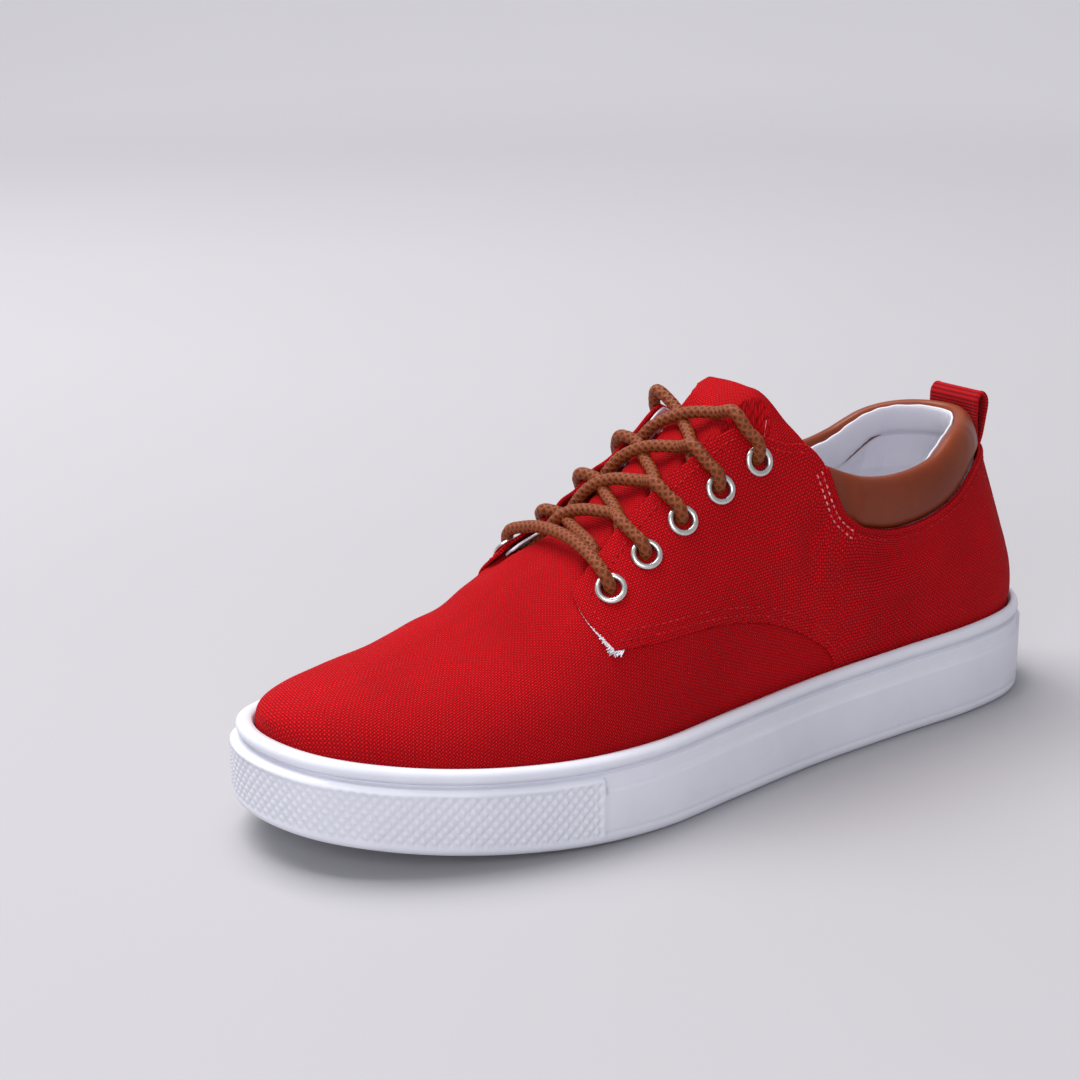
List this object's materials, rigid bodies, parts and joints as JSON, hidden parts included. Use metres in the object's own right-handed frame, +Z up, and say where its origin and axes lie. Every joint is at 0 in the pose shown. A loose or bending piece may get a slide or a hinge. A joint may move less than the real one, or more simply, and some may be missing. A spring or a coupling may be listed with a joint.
{
  "type": "canvas sneaker",
  "caption": "Low-cut derby canvas sneaker, left foot: cup sole with rounded rand, hollow canvas upper, tongue, padded leather collar, lace and heel pull loop.",
  "frame": {"origin": "on the ground under the middle of the shoe's bounding box", "axes": "+Z up, -Y towards the toe, +Y towards the heel, +X towards the lateral (outer) side of the left shoe"},
  "size_m": [0.1048, 0.2996, 0.1222],
  "materials": {
    "rubber": "white moulded rubber, satin",
    "canvas": "red plain-weave canvas",
    "lining": "white textile lining",
    "leather": "brown smooth padded leather, soft sheen",
    "webbing": "red ribbed webbing",
    "steel": "polished nickel-plated eyelets",
    "lace": "brown round braided cord, slight wax sheen"
  },
  "bodies": {
    "root": {"cup_sole": "rubber", "upper": "canvas", "insole": "lining", "tongue": "canvas", "collar": "leather", "pull_loop": "webbing", "eyelet_lateral_1": "steel", "eyelet_lateral_2": "steel", "eyelet_lateral_3": "steel", "eyelet_lateral_4": "steel", "eyelet_lateral_5": "steel", "eyelet_medial_1": "steel", "eyelet_medial_2": "steel", "eyelet_medial_3": "steel", "eyelet_medial_4": "steel", "eyelet_medial_5": "steel", "lace_bar": "lace", "lace_cross_1": "lace", "lace_cross_2": "lace", "lace_cross_3": "lace", "lace_cross_4": "lace"}
  },
  "joints": []
}
